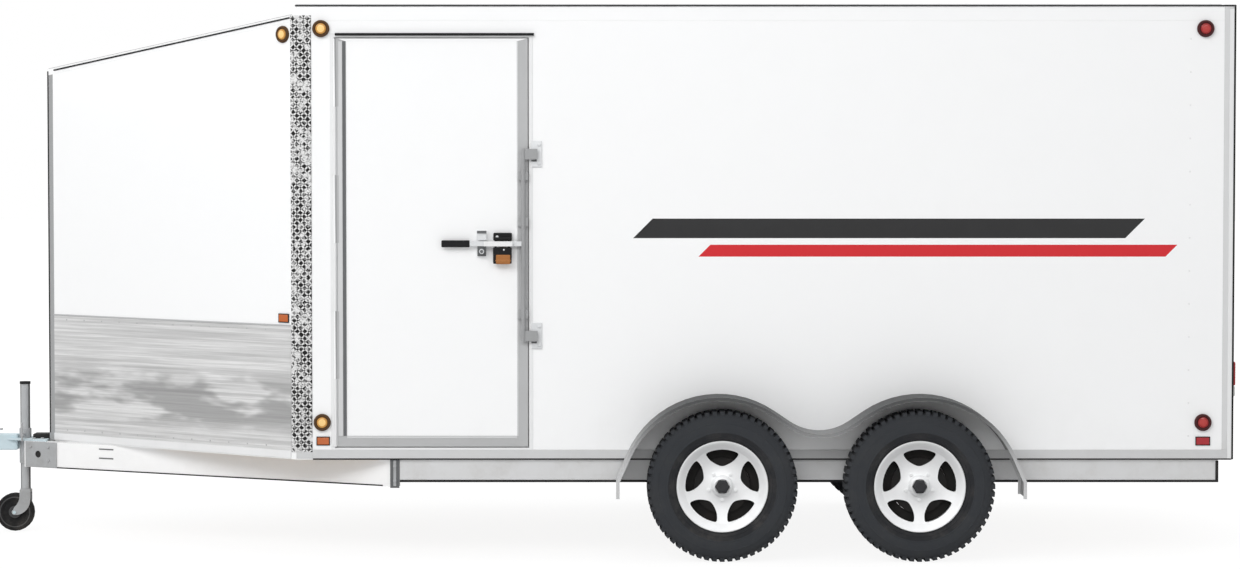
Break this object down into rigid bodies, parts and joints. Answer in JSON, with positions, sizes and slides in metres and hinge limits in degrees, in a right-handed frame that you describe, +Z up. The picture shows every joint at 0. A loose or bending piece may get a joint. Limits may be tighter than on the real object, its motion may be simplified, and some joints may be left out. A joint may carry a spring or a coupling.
{
  "type": "enclosed cargo trailer",
  "caption": "Enclosed box trailer with a V-shaped nose, tandem axles under twin-arched fenders, side door, rear ramp door and castor jack.",
  "frame": {"origin": "centre of the overall box on the ground", "axes": "-X towards the nose and coupler, +X towards the ramp door, -Y towards the side with the door, +Z up"},
  "size_m": [6.0854, 2.59, 2.54],
  "materials": {
    "white_paint": "semi-gloss",
    "grey_paint": "satin",
    "fender_paint": "satin",
    "aluminium": "brushed",
    "tread_plate": "tread plate",
    "cast_alloy": "satin cast",
    "galvanised": "galvanised",
    "chrome": "polished",
    "brass": "satin",
    "black_paint": "matt",
    "tyre_rubber": "matt",
    "plywood": "raw",
    "amber_lens": "clear-coated",
    "red_lens": "clear-coated"
  },
  "bodies": {
    "trailer": {"axle_front": "black_paint", "axle_rear": "black_paint", "chassis_frame": "white_paint", "corner_strip_left": "tread_plate", "corner_strip_right": "tread_plate", "coupler": "galvanised", "coupler_latch": "galvanised", "drawbar_left": "white_paint", "drawbar_right": "white_paint", "fender_left": "fender_paint", "fender_right": "fender_paint", "floor_deck": "plywood", "jack_clamp": "grey_paint", "lamp_front_high_left": "amber_lens", "lamp_front_high_right": "amber_lens", "lamp_front_low_left": "amber_lens", "lamp_front_low_right": "amber_lens", "lamp_nose_left": "amber_lens", "lamp_nose_right": "amber_lens", "lamp_rear_high_left": "red_lens", "lamp_rear_high_right": "red_lens", "lamp_rear_low_left": "red_lens", "lamp_rear_low_right": "red_lens", "nose_post": "aluminium", "nose_roof": "white_paint", "nose_wall_left": "white_paint", "nose_wall_right": "white_paint", "rear_frame": "white_paint", "rear_id_lamps": "red_lens", "roof": "white_paint", "side_door_frame": "white_paint", "side_wall_left": "white_paint", "side_wall_right": "white_paint", "stone_guard_left": "aluminium", "stone_guard_right": "aluminium", "tail_lamp_left": "red_lens", "tail_lamp_right": "red_lens"},
    "wheel_front_left": {"tyre_front_left": "tyre_rubber", "rim_front_left": "cast_alloy", "hub_drum_front_left": "black_paint"},
    "wheel_front_right": {"tyre_front_right": "tyre_rubber", "rim_front_right": "cast_alloy", "hub_drum_front_right": "black_paint"},
    "wheel_rear_left": {"tyre_rear_left": "tyre_rubber", "rim_rear_left": "cast_alloy", "hub_drum_rear_left": "black_paint"},
    "wheel_rear_right": {"tyre_rear_right": "tyre_rubber", "rim_rear_right": "cast_alloy", "hub_drum_rear_right": "black_paint"},
    "side_door": {"side_door": "white_paint", "side_door_lock": "chrome", "padlock": "brass"},
    "ramp_door": {"ramp_door": "white_paint", "ramp_lock_left": "chrome", "ramp_lock_right": "chrome"},
    "jack_stem": {"jack_stem": "grey_paint"},
    "jack_fork": {"jack_fork": "grey_paint"},
    "jack_wheel": {"jack_wheel": "tyre_rubber"}
  },
  "joints": [
    {"name": "wheel_front_left_spin", "type": "hinge", "parent": "trailer", "child": "wheel_front_left", "pos_m": [0.66325, -1.182, 0.344], "axis": [0, 1, 0], "continuous": true},
    {"name": "wheel_front_right_spin", "type": "hinge", "parent": "trailer", "child": "wheel_front_right", "pos_m": [0.66325, 1.182, 0.344], "axis": [0, 1, 0], "continuous": true},
    {"name": "wheel_rear_left_spin", "type": "hinge", "parent": "trailer", "child": "wheel_rear_left", "pos_m": [1.56225, -1.182, 0.344], "axis": [0, 1, 0], "continuous": true},
    {"name": "wheel_rear_right_spin", "type": "hinge", "parent": "trailer", "child": "wheel_rear_right", "pos_m": [1.56225, 1.182, 0.344], "axis": [0, 1, 0], "continuous": true},
    {"name": "side_door_swing", "type": "hinge", "parent": "trailer", "child": "side_door", "pos_m": [-1.11125, -1.076, 1.4475], "axis": [0, 0, -1], "range_deg": [0, 165]},
    {"name": "ramp_door_swing", "type": "hinge", "parent": "trailer", "child": "ramp_door", "pos_m": [3.03025, 0, 0.48875], "axis": [0, 1, 0], "range_deg": [0, 103.5]},
    {"name": "jack_slide", "type": "slide", "parent": "trailer", "child": "jack_stem", "axis": [0, 0, 1], "range_m": [0, 0.11]},
    {"name": "jack_castor", "type": "hinge", "parent": "jack_stem", "child": "jack_fork", "pos_m": [-2.72175, 0, 0.2], "axis": [0, 0, 1], "continuous": true},
    {"name": "jack_wheel_spin", "type": "hinge", "parent": "jack_fork", "child": "jack_wheel", "pos_m": [-2.77275, 0, 0.0935], "axis": [0, 1, 0], "continuous": true}
  ]
}
